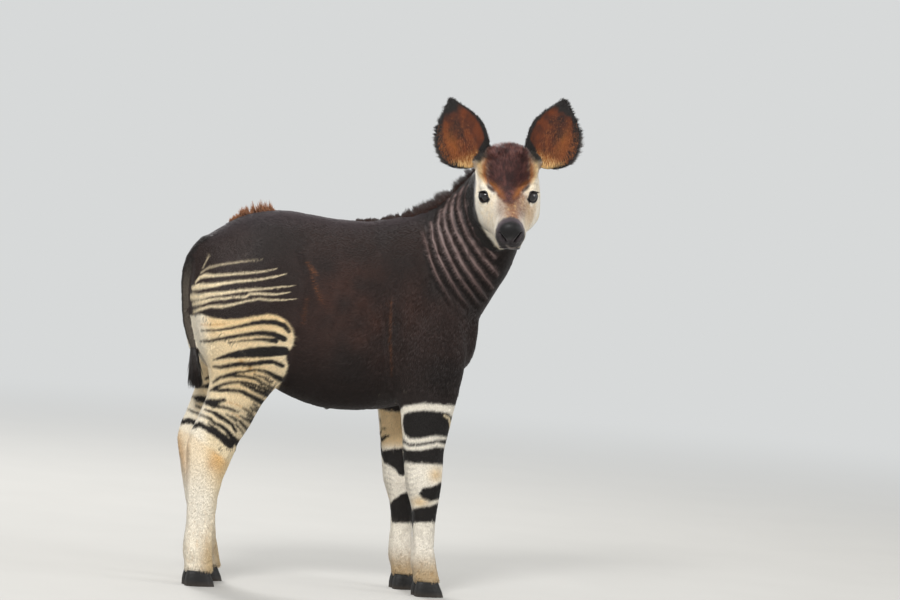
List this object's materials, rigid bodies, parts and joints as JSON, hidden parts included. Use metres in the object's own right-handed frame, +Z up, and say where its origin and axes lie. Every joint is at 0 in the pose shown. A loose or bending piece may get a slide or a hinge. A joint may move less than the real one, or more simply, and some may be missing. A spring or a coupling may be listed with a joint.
{
  "type": "okapi calf figure",
  "caption": "Life-size standing okapi calf with large ears, striped haunches and legs, a short mane and cloven hooves, looking back over its right shoulder.",
  "frame": {"origin": "on the floor under the middle of the box round the whole calf", "axes": "+X the way the trunk faces, +Y the calf's left, +Z up"},
  "size_m": [1.0452, 0.5586, 1.4142],
  "materials": {
    "dark_coat": "short dark chocolate fur with a soft gloss",
    "cream_coat": "short cream fur with black stripes on the upper legs",
    "russet_coat": "short red-brown fur",
    "hoof_horn": "black horn, slightly worn",
    "eye": "wet dark brown eye"
  },
  "bodies": {
    "root": {"ear_left": "russet_coat", "ear_right": "russet_coat", "eye_left": "eye", "eye_right": "eye", "foreleg_left_lower": "cream_coat", "foreleg_left_upper": "dark_coat", "foreleg_right_lower": "cream_coat", "foreleg_right_upper": "dark_coat", "head": "russet_coat", "hindleg_left_lower": "cream_coat", "hindleg_left_upper": "cream_coat", "hindleg_right_lower": "cream_coat", "hindleg_right_upper": "cream_coat", "hoof_front_left_inner": "hoof_horn", "hoof_front_left_outer": "hoof_horn", "hoof_front_right_inner": "hoof_horn", "hoof_front_right_outer": "hoof_horn", "hoof_hind_left_inner": "hoof_horn", "hoof_hind_left_outer": "hoof_horn", "hoof_hind_right_inner": "hoof_horn", "hoof_hind_right_outer": "hoof_horn", "mane_croup": "russet_coat", "mane_neck": "dark_coat", "neck": "dark_coat", "tail": "dark_coat", "tail_tuft": "dark_coat", "trunk": "dark_coat"}
  },
  "joints": []
}
